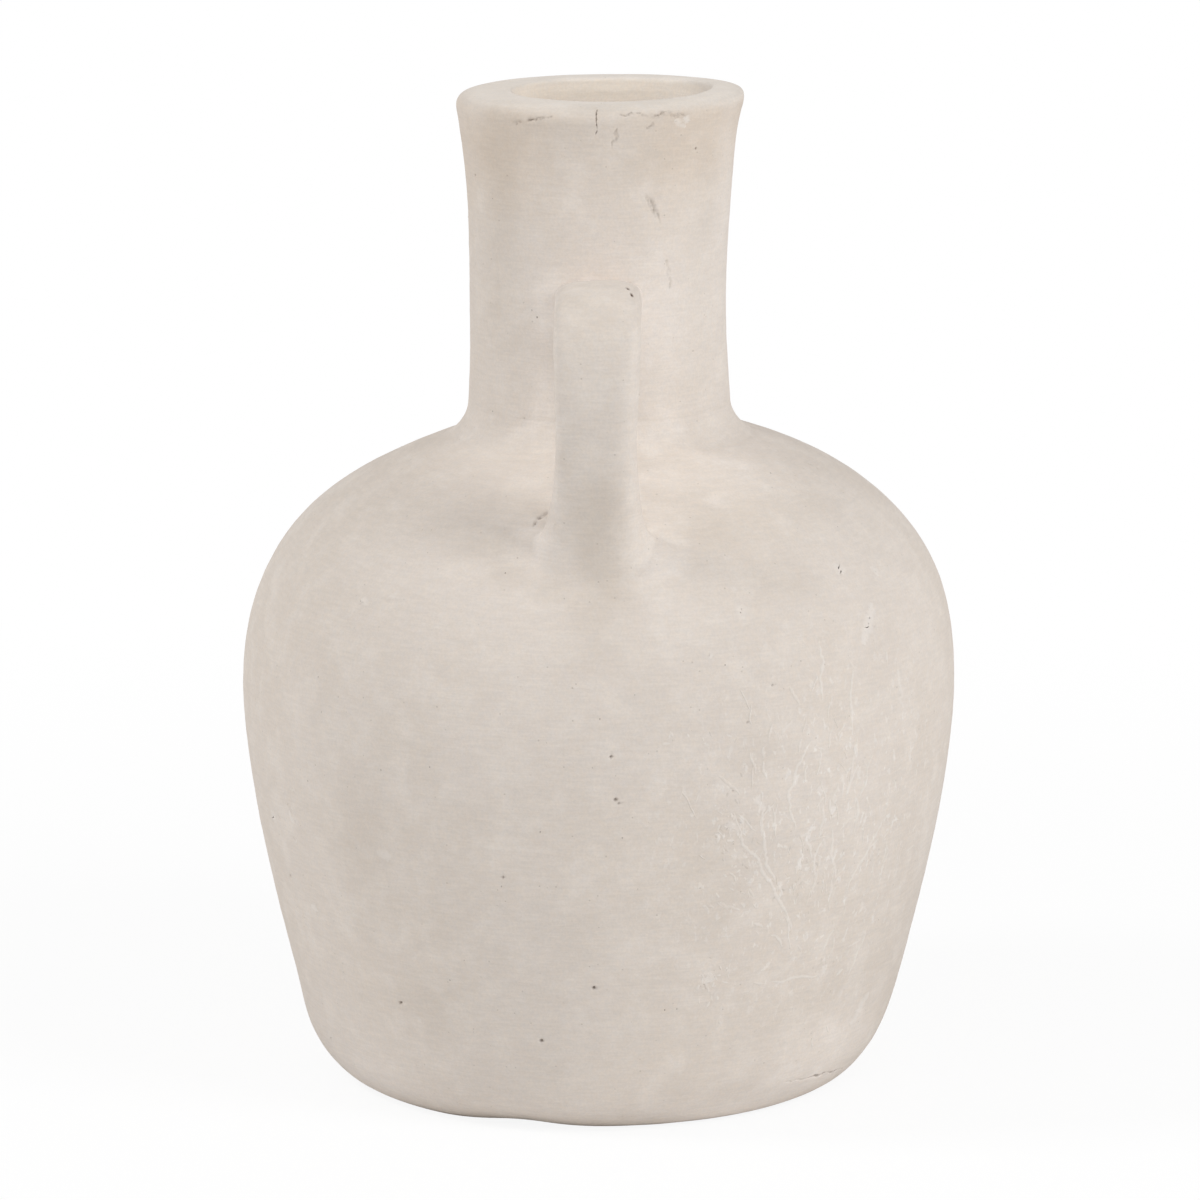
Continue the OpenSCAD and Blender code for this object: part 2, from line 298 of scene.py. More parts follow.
def reliefAt(points, rings=True):  # how far lumps, throwing lines and scars stand out, and their dirt
    relief = sum(height * clayNoise(points, size, seed) for size, height, seed in making["lumps"])
    if rings:
        drift = clayNoise(points * np.array([1, 1, 0]), *making["ringDrift"])
        for spacing, height in making["rings"]:
            relief += height * np.sin(2 * math.pi * (points[..., 2] / spacing + drift))
    wander = np.zeros(points.shape)
    for size, share in making["sways"]:
        sways = [clayNoise(points, size, seed) for seed in making["swaySeeds"]]
        wander += making["wander"] * share * np.stack(sways, axis=-1)
    broken = smoothStep(*making["gapEdge"], clayNoise(points, *making["gaps"]))
    dirtAndShade = np.zeros(points.shape[:-1])
    for start, end, halfWidth, depth, sootAndShade in scarList:
        reach = norm(end - start) / 2 + 3 * halfWidth
        near = norm(points - (start + end) / 2, axis=-1) < reach
        if not near.any():
            continue
        line = end - start
        length = norm(line)
        off = points[near] + wander[near] * min(1, length / making["shortScar"]) - start
        share = np.clip(off @ line / max(length ** 2, 1e-9), 0, 1)
        width = making["scarWidth"] * halfWidth
        if length > making["shortScar"]:  # thinner towards both ends
            full = np.sqrt(np.sin(math.pi * np.clip(share, 0.02, 0.98)))
            width = width * (making["scarEnds"] + (1 - making["scarEnds"]) * full)
        gap = norm(off - share[:, None] * line, axis=-1) / width
        weight = (1 - np.minimum(gap, 1) ** 2) ** 2
        whole = broken[near] if sootAndShade < 1 else 1   # the darkest are whole, the others broken up
        relief[near] -= depth * weight * whole
        dirtAndShade[near] = np.maximum(dirtAndShade[near], making["scarDirtAndShade"] * sootAndShade * weight * whole)
    return relief, dirtAndShade


def worked(grid, rings=True, share=1.0):  # share of the relief, in all or row by row
    along = np.gradient(grid, axis=0)
    around = np.roll(grid, -1, axis=1) - np.roll(grid, 1, axis=1)
    normal = unit(np.cross(around, along))
    relief, dirtAndShade = reliefAt(grid, rings)
    return grid + (share * relief)[..., None] * normal, dirtAndShade


def withExtra(lines, extra, least):  # adds finer lines where the scars are
    lines = np.sort(np.concatenate([lines, extra[(extra > lines[0]) & (extra < lines[-1])]]))
    kept = [lines[0]]
    for value in lines[1:-1]:
        if value - kept[-1] >= least and lines[-1] - value >= least:
            kept.append(value)
    return np.array(kept + [lines[-1]])


spread = np.linspace(-1, 1, 9)
scarStops, scarAngles = [], []
for start, end, halfWidth, depth, sootAndShade in wallScars:
    length = norm(end - start)
    pieces = max(1, math.ceil(length / (2 * halfWidth)))
    reach = 1.2 * halfWidth + making["wander"] * min(1, length / making["shortScar"])
    for share in np.linspace(0, 1, pieces + 1):
        place = start + share * (end - start)
        radius = math.hypot(place[0], place[1])
        scarStops.append(stopAt(place[2]) + reach * spread)
        scarAngles.append(math.degrees(math.atan2(place[0], -place[1]))
                          + np.degrees(reach * spread / radius))
scarStops, scarAngles = np.array(scarStops), np.array(scarAngles)
print("outline and scars:", len(outline), "points,", len(scarList), "scars")


grain = {  # spacing of the rows, and the least spacing of columns and rows through a scar
    "wall": 2.2, "neck": 1.8, "coil": 0.8, "lip": 0.6, "slab": 0.8, "inside": 5, "hidden": 1.5,
    "leastAngle": 0.2, "leastStop": 0.25,
    "tuck": 0.3,   # a covered face ends this far inside the edge that covers it
}


def columnsFor(start, end):  # one line a degree, and more through the scars between two stops
    here = (scarStops.max(axis=1) > start) & (scarStops.min(axis=1) < end)
    return withExtra(np.linspace(-180, 180, 361), scarAngles[here].ravel(), grain["leastAngle"])[:-1]


def turned(profile, angles):
    a = np.radians(angles)
    radius, z = profile[:, :1], profile[:, 1:]
    return np.stack(np.broadcast_arrays(radius * np.sin(a), -radius * np.cos(a), z + 0 * a), axis=-1)


def outsideRows(start, end, step):
    stops = np.linspace(start, end, max(2, round((end - start) / step) + 1))
    return placesAt(outline, withExtra(stops, scarStops.ravel(), grain["leastStop"]))


def flatRings(start, end, height, count):  # level rows from one radius to another
    return np.column_stack([np.linspace(start, end, count), np.full(count, height)])


sharpEdge = 48  # an edge bent by more than this stays crisp


def linked(name, data):
    made = bpy.data.objects.new(name, data)
    scene.collection.objects.link(made)
    return made


def meshPiece(name, points, faces, dirtAndShade, pale):
    mesh = bpy.data.meshes.new(name)
    mesh.from_pydata((points * mm).tolist(), [], faces)
    for layer, values in (("dirtAndShade", dirtAndShade), ("pale", pale)):
        mesh.attributes.new(layer, "FLOAT", "POINT").data.foreach_set("value", values.astype(np.float32))
    mesh.polygons.foreach_set("use_smooth", np.ones(len(mesh.polygons), bool))
    mesh.set_sharp_from_angle(angle=math.radians(sharpEdge))
    mesh.validate()
    piece = linked(name, mesh)
    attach(piece, "root")
    print("made", name, "with", len(mesh.polygons), "faces")
    return piece


def quadsBetween(below, above):
    quads = [below, np.roll(below, -1, axis=1), np.roll(above, -1, axis=1), above]
    return np.stack(quads, axis=-1).reshape(-1, 4).tolist()


def clayPiece(name, nodeName, grid, dirtAndShade, looped):
    rowCount, colCount = grid.shape[:2]
    index = np.arange(rowCount * colCount).reshape(rowCount, colCount)
    below = index if looped else index[:-1]
    above = np.roll(index, -1, axis=0) if looped else index[1:]
    faces = quadsBetween(below, above)
    points = grid.reshape(-1, 3)
    sootAndShade = dirtAndShade.reshape(-1)
    if not looped:  # both ends close on a middle point
        ends = np.array([grid[0].mean(axis=0), grid[-1].mean(axis=0)])
        points = np.vstack([points, ends])
        sootAndShade = np.concatenate([sootAndShade, [0, 0]])
        count = rowCount * colCount
        for j in range(colCount):
            k = (j + 1) % colCount
            faces.append([count, index[0, k], index[0, j]])
            faces.append([count + 1, index[-1, j], index[-1, k]])
    piece = meshPiece(name, points, faces, sootAndShade, np.zeros(len(points)))
    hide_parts(nodeName)
    return piece


def turnedPiece(name, nodeName, outside, hidden, angles, share=1.0):
    face, dirtAndShade = worked(turned(outside, angles), share=share)
    rest = turned(hidden, angles)
    grid = pushed(np.concatenate([face, rest]))
    dirtAndShade = np.concatenate([dirtAndShade, np.zeros(rest.shape[:2])])
    return clayPiece(name, nodeName, grid, dirtAndShade, True)


discSeam = stopAt(floorHeight)
lipSeam = stopAt(seamHeight)
edgeStop = outlineLengths[np.argmin(norm(outline - coilEdge, axis=1))]
topStop = outlineLengths[np.argmin(norm(outline - coilTop, axis=1))]


# Slab floor, from the middle of its underside round the heel to the middle of its top
def makeSlab():
    rows = outsideRows(0, discSeam, grain["slab"])
    under = flatRings(2, vessel["footRadius"] - 1.5, 0, 24)
    top = flatRings(rows[-1, 0] - 1, 2, floorHeight, 20)
    angles = columnsFor(0, discSeam)
    face, dirtAndShade = worked(turned(rows, angles))
    grid = pushed(np.concatenate([turned(under, angles), face, turned(top, angles)]))
    dirtAndShade = np.pad(dirtAndShade, ((len(under), len(top)), (0, 0)))
    return clayPiece("base_slab", "base_disc", grid, dirtAndShade, False)


# Thrown wall: outside to the neck's coil, then the seat, the throat and the inside back to the slab
def makeWall():
    outside = outsideRows(discSeam, edgeStop, grain["wall"])
    covered = highLine[highLine[:, 0] < outside[-1, 0] - grain["tuck"]]
    insideLow = respaced(lowLine + vessel["wall"] * leftOf(headings(lowLine)), grain["inside"])
    insideHigh = respaced(highLine + vessel["wall"] * leftOf(headings(highLine)), grain["inside"])
    throat = [[vessel["bore"], seatHeight], [vessel["bore"], insideHigh[-1, 1]]]
    floorEdge = [[outside[0, 0] - vessel["wallFoot"], floorHeight]]
    seatRows = respaced(covered, grain["hidden"])
    hidden = np.vstack([seatRows, throat, insideHigh[::-1], insideLow[::-1], floorEdge])
    return turnedPiece("belly_wall", "body_wall", outside, hidden, columnsFor(discSeam, edgeStop))


# Collar: outside from the coil to the lip's seam, then down the bore and out over the seat
def makeNeck():
    outside = outsideRows(topStop, lipSeam, grain["neck"])
    bore = np.linspace([vessel["bore"], seamHeight], [vessel["bore"], seatHeight], 24)
    covered = neckLine[neckLine[:, 1] < outside[0, 1] - grain["tuck"]]
    hidden = np.vstack([bore, respaced(covered, grain["hidden"])])
    return turnedPiece("neck_collar", "neck", outside, hidden, columnsFor(topStop, lipSeam))


# Lip: over the rim and into the bore, where its lumps die away, then back under
def makeLip():
    outside = outsideRows(lipSeam, outlineLengths[-1], grain["lip"])
    under = flatRings(outside[-1, 0] + 1, outside[0, 0] - 0.8, seamHeight, 8)
    inBore = outside[:, :1] < lipRadius - lipHalf
    fading = smoothStep(seamHeight, seamHeight + 3, outside[:, 1:])
    angles = columnsFor(lipSeam, outlineLengths[-1])
    return turnedPiece("lip_coil", "rim_coil", outside, under, angles, np.where(inBore, fading, 1))


# Luting coil under the neck: its fillet, then back down the neck and out over the shoulder
def makeNeckCoil():
    fillet = outsideRows(edgeStop, topStop, grain["coil"])
    behindNeck = neckLine[neckLine[:, 1] < fillet[-1, 1] - grain["tuck"]][::-1]
    overShoulder = highLine[highLine[:, 0] < fillet[0, 0] - grain["tuck"]][::-1]
    hidden = np.vstack([respaced(behindNeck, grain["hidden"]), respaced(overShoulder, grain["hidden"])[1:]])
    return turnedPiece("neck_luting", "neck_seam_coil", fillet, hidden, columnsFor(edgeStop, topStop))


# Pulled strap: out from the neck, round the elbow and down to the shoulder
strap = {
    "topHeight": 258, "armRise": 10, "elbowHeight": 240, "footRadius": 87.5, "lean": 22,
    "width": (26.5, 26.3, 22), "thickness": (11, 11, 6.5),   # at the neck, half way and at the foot
    "leanLeft": (0.2, 1.0, 0.2), "leanRight": (0.2, 1.5, 2.8),   # how far each side leans in outwards
    "shift": (0, -0.6, -1.6),   # how far the middle strays to the right there
    "roll": (0, 3, 2),   # turn about its own line there
    "square": 3.2, "ovalness": 0.4,   # corners of the section, and how fast a flare rounds them
    "armFullness": 0.9, "elbowFullness": 1.67, "runFullness": 0.35, "footFullness": 0.45,
    "sides": 144, "step": 0.55,
    "upperCoil": 18, "upperFlare": (0.4, 0.5, 5),   # length, then flare across, outwards and inwards
    "lowerCoil": 36, "lowerFlare": (8, 15, 6),
    "roundness": 0.58,   # how far each coil is hollowed towards its corner
    "landing": (-30, 60),   # how far back and on its ends look for the wall
}

strapReach -= strap["thickness"][1] / 2
strapStart = np.array([neckRadius(strap["topHeight"]), strap["topHeight"]])
strapElbow = np.array([strapReach, strap["elbowHeight"]])
strapEnd = np.array([strap["footRadius"], shoulderHeight(strap["footRadius"])])
armPull = strap["armFullness"] * (strapReach - strapStart[0]) * direction(strap["armRise"])
elbowPull = np.array([0, strap["elbowFullness"] * (strap["topHeight"] - strap["elbowHeight"])])
runDrop = strapElbow[1] - strapEnd[1]
strapLine = np.vstack([
    bezier([strapStart, strapStart + armPull, strapElbow + elbowPull, strapElbow]),
    bezier([strapElbow, strapElbow - [0, strap["runFullness"] * runDrop],
            strapEnd + strap["footFullness"] * runDrop * direction(90 - strap["lean"]), strapEnd])[1:]])
strapLength = lengthsAlong(strapLine)[-1]
strapTurn = np.radians(np.linspace(0, 360, strap["sides"], endpoint=False))


def strapRing(stop, grow=(0, 0, 0)):  # section at a length along the strap, and the way it heads there
    ahead, back = np.clip([stop + 0.5, stop - 0.5], 0, strapLength)
    heading = unit(placesAt(strapLine, [ahead])[0] - placesAt(strapLine, [back])[0])
    middle = placesAt(strapLine, [np.clip(stop, 0, strapLength)])[0]
    share = stop / strapLength
    square = 2 + (strap["square"] - 2) / (1 + strap["ovalness"] * grow[0])
    width, thickness, left, right, shift, roll = (
        np.interp(share, [0, 0.5, 1], strap[key])
        for key in ("width", "thickness", "leanLeft", "leanRight", "shift", "roll"))
    side = squareOff(np.cos(strapTurn), square)
    deep = squareOff(np.sin(strapTurn), square)
    across = (width / 2 - np.where(side > 0, right, left) * deep + grow[0]) * side
    deep = (thickness / 2 + np.where(deep > 0, grow[1], grow[2])) * deep
    turnCos, turnSin = direction(roll)
    across, deep = across * turnCos - deep * turnSin, deep * turnCos + across * turnSin
    outward = np.array([-heading[1], heading[0]])
    ring = np.column_stack([
        across + shift, -(middle[0] + deep * outward[0]), middle[1] + deep * outward[1]])
    return ring, np.array([0, -heading[0], heading[1]])


def aboveShoulder(points):
    return points[:, 2] - shoulderHeight(np.hypot(points[:, 0], points[:, 1]))


def outsideNeck(points):
    return np.hypot(points[:, 0], points[:, 1]) - neckRadius(points[:, 2])


def landed(ring, way, height):  # follows a way from each point until it meets the wall
    near, far = (np.full(len(ring), float(reach)) for reach in strap["landing"])
    for _ in range(40):
        middle = (near + far) / 2
        clear = height(ring + middle[:, None] * way) > 0
        near, far = np.where(clear, middle, near), np.where(clear, far, middle)
    return ring + ((near + far) / 2)[:, None] * way


upperRing, armHeading = strapRing(0)
lowerRing, footHeading = strapRing(strapLength)
upperCorner = landed(upperRing, -armHeading, outsideNeck)
lowerCorner = landed(lowerRing, footHeading, aboveShoulder)
upperEdge = landed(strapRing(0, strap["upperFlare"])[0], -armHeading, outsideNeck)
lowerEdge = landed(strapRing(strapLength, strap["lowerFlare"])[0], footHeading, aboveShoulder)
upperStop, lowerStop = strap["upperCoil"], strapLength - strap["lowerCoil"]


def makeStrap():
    stops = np.linspace(upperStop, lowerStop, round((lowerStop - upperStop) / strap["step"]) + 1)
    shown = np.array([strapRing(stop)[0] for stop in stops])
    face, dirtAndShade = worked(shown, rings=False)
    grid = pushed(np.concatenate([upperCorner[None], face, lowerCorner[None]]))
    return clayPiece("strap_handle", "handle_strap", grid, np.pad(dirtAndShade, ((1, 1), (0, 0))), False)


def filletRows(ring, heading, corner, edge, count=22):  # hollow curve from the strap's side to the wall
    reach = norm(corner - ring, axis=1)[:, None]
    first = ring + strap["roundness"] * reach * heading
    second = edge + strap["roundness"] * (corner - edge)
    return bezier([ring, first, second, edge], count)


def makeLuting(name, nodeName, stop, way, corner, edge):  # way is 1 down the strap, -1 back up
    ring, heading = strapRing(stop)
    face, dirtAndShade = worked(filletRows(ring, way * heading, corner, edge)[::way], rings=False)
    grid = pushed(np.concatenate([face, corner[None]]))
    return clayPiece(name, nodeName, grid, np.pad(dirtAndShade, ((0, 1), (0, 0))), True)


# Lime that crept up the wall in thin raised strands fanned from one root, and flakes and crumbs of it
lime = {
    "seed": 12, "rise": 0.15,
    "waver": 0.5,   # degrees by which the placed strands and flakes stray
    "root": (39.5, 38), "middle": (38, 92), "spread": (9, 27), "within": (14, 190),   # seeded strands
    "count": 120, "length": (2.5, 13), "lengthFade": 150, "halfWidth": (0.25, 0.75), "raggedness": 0.35,
    "pale": (0.1, 0.5), "fan": 12, "sway": 10, "stride": 0.6,
    "crumbs": [  # middle (angle, height), spread, how many: bits of lime and grit that broke off
        ((20.8, 103), (1.5, 5.5), 45), ((35.5, 84), (4, 7), 70), ((19.7, 52), (1.5, 4.5), 32),
        ((43, 50), (2, 3), 16), ((24, 92), (3, 9), 30), ((16, 133), (2.5, 1.5), 10),
        ((-60, 96), (2, 5), 12), ((170, 90), (4, 9), 30),
    ],
    "crumbLength": (0.8, 2.4), "crumbHalfWidth": (0.25, 0.6), "crumbRagged": 0.4, "crumbTurn": (-20, 45),
    "crumbRise": 0.6, "crumbPale": (0.25, 0.65), "crumbDark": (0.04, 0.16), "darkShare": 0.35,
    "strands": [  # each through places (angle, height)
        [(34.6, 60.3), (32.8, 72.9), (28.4, 84.8), (23.7, 97.4), (21.3, 108.3)],
        [(29.4, 84.6), (26.9, 96.1), (26.6, 102.7)],
        [(32.6, 101.2), (30.8, 112.7), (32.3, 121.4), (34.8, 128.1)],
        [(42.6, 80.7), (40.7, 91.3), (40.4, 99)],
        [(45.7, 76.2), (47.6, 83.9), (50.1, 89), (52.7, 96.9)],
        [(43.4, 127.8), (42.9, 139), (44, 148)],
        [(37.2, 140.6), (37.3, 149.2), (37.7, 158.8)],
        [(32, 49.6), (34.2, 48.7), (35.8, 49.7), (38.4, 49.5), (40.6, 48.4), (42, 48.6)],
        [(42.2, 56.6), (42.9, 60.4), (44.4, 63.2)],
        [(50.8, 45.6), (52, 52), (53.8, 61.4)],
    ],
    "strandHalfWidth": 0.7, "strandPale": 0.45,
    "strandDrawn": (0.7, 7, 0.3), "flakeDrawn": (0.45, 5, 0.45),   # step, points to smooth over, raggedness
    "flakes": [  # from angle, height to angle, height, half width, how pale
        (52.1, 166.1, 47.2, 154.8, 2, 0.75), (59.9, 36.1, 55.8, 26.8, 1.9, 0.7),
        (25.3, 113.4, 26.3, 107.6, 1.1, 0.7), (36.4, 112.8, 38.4, 111.2, 1.5, 0.6),
        (33.8, 97.6, 36.9, 100.3, 0.9, 0.8), (45.2, 117, 45.6, 113, 1, 0.7),
        (41.2, 115.6, 41.6, 112.4, 1, 0.7), (38.6, 118.6, 39, 115.4, 0.8, 0.6),
        (50.5, 70.6, 49.9, 66.8, 1.1, 0.7), (55.2, 144.5, 56.2, 132.1, 0.9, 0.5),
        (56.2, 175.6, 57.4, 172.6, 1.5, 0.6), (47.4, 178.6, 48.2, 175.4, 2.2, 0.4),
        (17.5, 157.6, 18.3, 157, 1.1, 0.6), (24.6, 171.4, 24.3, 167.2, 2, 0.4),
        (43.6, 51.4, 44.2, 48.4, 1.4, 0.8), (20, 105, 22.6, 102.4, 1.8, 0.5),
        (18.2, 56, 20, 52, 1.9, 0.55), (-44.9, 169.4, -43.9, 168, 2.2, 0.5),
        (-38.2, 172.4, -37.4, 171, 1.8, 0.3), (-60.2, 96.8, -59.6, 93.2, 1.2, 0.7),
        (-68.5, 93.5, -67.7, 89.5, 2.1, 0.4), (-37.9, 91.3, -35.3, 90.5, 2, 0.5),
        (-58.3, 66.2, -56.9, 65, 1.4, 0.6), (-46.2, 68.2, -45.6, 67.4, 1.3, 0.4),
        (-60.7, 54.5, -60.3, 52.5, 1.2, 0.35), (-34.7, 35.8, -34.3, 34.8, 1.1, 0.5),
        (-65.6, 20.2, -64, 18.2, 1.5, 0.4), (150, 120, 153, 112, 1.6, 0.6), (-132, 84, -130, 78, 1.8, 0.5),
        (-168, 150, -165, 146, 2, 0.45), (31.5, 314.4, 34.5, 312.8, 1.2, 0.9),
        (35.5, 314.8, 38.5, 313.2, 1.3, 1), (33.5, 312.6, 37, 311.8, 0.9, 0.8),
    ],
    "flakeWidth": 1.2, "flakeRise": 0.07, "flakeStrength": 0.6,
}
specks = {  # dark grains of iron in the clay
    "places": [
        (-50.5, 143.9), (-63.2, 142.9), (-36, 118.8), (-26.1, 112.5), (-26.9, 122), (-53.2, 109.6),
        (-49, 133.3), (-12.7, 151.9), (-3.5, 150.3), (-15.3, 140.5), (5.6, 147), (0.2, 139.8),
        (-9.1, 103.7), (3.7, 102), (-26.7, 51.4), (-5.9, 174.7), (-17.2, 181), (20.3, 154.6),
        (39.9, 171.5), (11.7, 43.7), (13.9, 43.8),
    ],
    "elsewhere": 70, "heights": (25, 300), "halfWidth": (0.16, 0.36), "dark": (0.35, 0.8), "rise": 0.05,
    "shape": (0.35, 0.85, 1, 0.85, 0.35), "seed": 41,
}
perDegree = 2   # about this many millimetres of wall to a degree
# Section of every low ridge: across, up, and the share of its dirt and lime
ridge = np.array([
    (-1, -0.06, 0.05), (-0.55, 0.75, 0.65), (0, 1, 1), (0.55, 0.75, 0.65), (1, -0.06, 0.05), (0, -1.5, 0)])


# Low ridges on the wall, each with angles, stops, half widths, rise, dirt and lime
def islands(name, paths):
    points, faces, dirtAndShade, pale = [], [], [], []
    for angle, stop, halfWidth, rise, sootAndShade, chalk in paths:
        profile = placesAt(outline, stop)
        slope = headings(outline)[np.searchsorted(outlineLengths, stop).clip(0, len(outline) - 1)]
        a = np.radians(angle)
        outward = np.stack([np.sin(a), -np.cos(a), 0 * a], axis=-1)
        place = profile[:, :1] * outward + profile[:, 1:] * np.array([0, 0, 1])
        normal = slope[:, 1:] * outward - slope[:, :1] * np.array([0, 0, 1])
        side = unit(np.cross(np.gradient(place, axis=0), normal))
        relief = reliefAt(place)[0]
        ring = []
        for across, up, _ in ridge:
            lift = relief + up * rise * np.minimum(1, halfWidth / halfWidth.max() + 0.2)
            ring.append(place + (across * halfWidth)[:, None] * side + lift[:, None] * normal)
        grid = pushed(np.stack(ring, axis=1))
        rows, cols = grid.shape[:2]
        index = np.arange(rows * cols).reshape(rows, cols) + sum(len(part) for part in points)
        faces += quadsBetween(index[:-1], index[1:]) + [index[0, ::-1].tolist(), index[-1].tolist()]
        points.append(grid.reshape(-1, 3))
        dirtAndShade.append(np.tile(sootAndShade * ridge[:, 2], rows))
        pale.append(np.tile(chalk * ridge[:, 2], rows))
    return meshPiece(name, np.concatenate(points), faces, np.concatenate(dirtAndShade), np.concatenate(pale))


def taper(count, chance, raggedness):  # half-width profile of a strand or flake, with thin ends
    share = np.linspace(0.04, 0.96, count)
    return np.sin(math.pi * share) ** 0.55 * (1 + raggedness * chance.uniform(-1, 1, count))


def ridgeThrough(chance, places, halfWidth, step, smoothing, raggedness):
    angle, height = np.array(places, float).T
    line = respaced(np.column_stack([angle * perDegree, stopAt(height)]), step)
    draws = chance.normal(0, lime["waver"], len(line) + smoothing - 1)
    waver = np.convolve(draws, np.ones(smoothing) / smoothing, "valid")
    width = halfWidth * taper(len(line), chance, raggedness)
    return line[:, 0] / perDegree + waver, line[:, 1], width


def seededStrand(chance):
    angle, height = chance.normal(lime["middle"], lime["spread"])
    length = chance.uniform(*lime["length"]) * (1 - abs(height - lime["middle"][1]) / lime["lengthFade"])
    start = np.array([angle * perDegree, stopAt(np.clip(height, *lime["within"]))])
    root = np.array([lime["root"][0] * perDegree, stopAt(lime["root"][1])])
    heading = math.degrees(math.atan2(*(start - root))) + chance.normal(0, lime["fan"])
    count = max(4, round(length / lime["stride"]))
    turn = np.radians(heading + np.cumsum(chance.normal(0, lime["sway"], count)))
    angles = (start[0] + np.cumsum(np.sin(turn)) * lime["stride"]) / perDegree
    stops = start[1] + np.cumsum(np.cos(turn)) * lime["stride"]
    width = chance.uniform(*lime["halfWidth"]) * taper(count, chance, lime["raggedness"])
    return angles, stops, width, lime["rise"], 0, chance.uniform(*lime["pale"])


def seededCrumb(chance, middle, spread):
    angle, height = chance.normal(middle, spread)
    along = np.linspace(-0.5, 0.5, 5) * chance.uniform(*lime["crumbLength"])
    turn = math.radians(chance.normal(*lime["crumbTurn"]))
    width = chance.uniform(*lime["crumbHalfWidth"]) * taper(len(along), chance, lime["crumbRagged"])
    dark = chance.uniform() < lime["darkShare"]
    sootAndShade = chance.uniform(*lime["crumbDark"]) if dark else 0
    chalk = 0 if dark else chance.uniform(*lime["crumbPale"])
    angles = angle + along * math.sin(turn) / perDegree
    stops = stopAt(height) + along * math.cos(turn)
    return angles, stops, width, lime["crumbRise"] * lime["rise"], sootAndShade, chalk


def makeLime():
    chance = np.random.default_rng(lime["seed"])
    paths = []
    for places in lime["strands"]:
        path = ridgeThrough(chance, places, lime["strandHalfWidth"], *lime["strandDrawn"])
        paths.append((*path, lime["rise"], 0, lime["strandPale"]))
    paths += [seededStrand(chance) for _ in range(lime["count"])]
    for middle, spread, count in lime["crumbs"]:
        paths += [seededCrumb(chance, middle, spread) for _ in range(count)]
    for a, h, b, k, halfWidth, chalk in lime["flakes"]:
        path = ridgeThrough(chance, [(a, h), (b, k)], lime["flakeWidth"] * halfWidth, *lime["flakeDrawn"])
        paths.append((*path, lime["flakeRise"], 0, lime["flakeStrength"] * chalk))
    return islands("lime_strands", paths)


def makeSpecks():
    chance = np.random.default_rng(specks["seed"])
    shape = np.array(specks["shape"])
    places = specks["places"] + [(chance.uniform(-180, 180), chance.uniform(*specks["heights"]))
                                 for _ in range(specks["elsewhere"])]
    paths = []
    for angle, height in places:
        halfWidth = chance.uniform(*specks["halfWidth"])
        angles = np.full(len(shape), angle)
        stops = stopAt(height) + halfWidth * np.linspace(-1, 1, len(shape))
        dark = chance.uniform(*specks["dark"])
        paths.append((angles, stops, halfWidth * shape, specks["rise"], dark, 0))
    return islands("iron_specks", paths)


clayPieces = [
    makeSlab(), makeWall(), makeNeck(), makeLip(), makeNeckCoil(), makeStrap(),
    makeLuting("upper_luting", "upper_handle_coil", upperStop, -1, upperCorner, upperEdge),
    makeLuting("lower_luting", "lower_handle_coil", lowerStop, 1, lowerCorner, lowerEdge),
    makeLime(), makeSpecks(),
]

# Unglazed clay under a thin pale wash, with painted light on the lip and in the bore and painted shade at
# the foot, in colours of the screen
clayLook = {
    "body": (214.5, 205.2, 196.5), "warm": (212, 202, 192), "wash": (220, 211.2, 202.5),
    "chalk": (235, 231, 227), "stainAndShade": (203, 187, 170), "foot": (150, 126, 110), "sootAndShade": (92, 76, 66),
    # inside is partly the bore's own warmer colour, partly painted light; lipTopPaintedLight is painted
    # light on the lip's top
    "inside": (235.5, 226, 214.5), "lipTopPaintedLight": (220, 213, 205),
    "specular": 0.2, "bump": 0.7,
    "relief": (0.05, 0.035, 0.07, 0.14, -0.10),   # of brush, grit, flecks, patches and pits
    "fleckPale": 0.45, "limePale": 0.7, "pitDark": 0.22, "neckPaintedLight": 0.04,
    "greenShare": 1.1, "blueShare": 1.25,   # of a cloud, against red: darker is warmer
    "limeMiddle": (72, -85, 95), "pits": 2.6,
}
# Noise fields: size across and up, detail, roughness, distortion
fields = {
    "mottle": (62, 62, 3, 0.5, 0), "patch": (11, 11, 6, 0.6, 0.3), "brush": (7, 0.9, 3, 0.6, 0.15),
    "fleck": (2.2, 3.6, 2, 0.6, 0.4), "grit": (0.8, 0.8, 3, 0.7, 0), "hue": (1.7, 1.7, 3, 0.65, 0),
    "ragged": (0.9, 0.9, 2, 0.6, 0),
}
# Two values of a field or length and the shares they become, 0 and 1 where none are given
ramps = {
    "mottled": (0.36, 0.66), "washed": (0.42, 0.70, 0, 0.75), "flecked": (0.57, 0.70),
    "limeReach": (85, 20, 0.06, 1), "pitSize": (0.15, 0.05), "pitRarity": (0.72, 0.9),
    "rimStain": (272, 306), "rimMottled": (0.36, 0.6, 0.1, 0.5), "rimSides": (8, 28, 0.25, 1),
    "footStainAndShade": (8, 1, 0, 0.25), "footEdgeStainAndShade": (2, 0.3, 0, 0.35), "lipHeight": (315.5, 319.5, 0, 0.75),
    "boreRadius": (31.8, 30.7), "boreHeight": (200, 250),
    "neckFrom": (212, 222), "neckTo": (306, 286), "neckRadius": (52, 44),
    "streaks": (0.28, 0.72, 0.97, 1.026), "grains": (0.3, 0.7, 0.965, 1.028),
    "redness": (0.3, 0.7, 0.99, 1.01), "blueness": (0.3, 0.7, 1.014, 0.986),
    "dirtAndShadeRagged": (0.36, 0.6, 0.4, 1.1), "roughness": (0.5, 1, 0.84, 0.97),
}
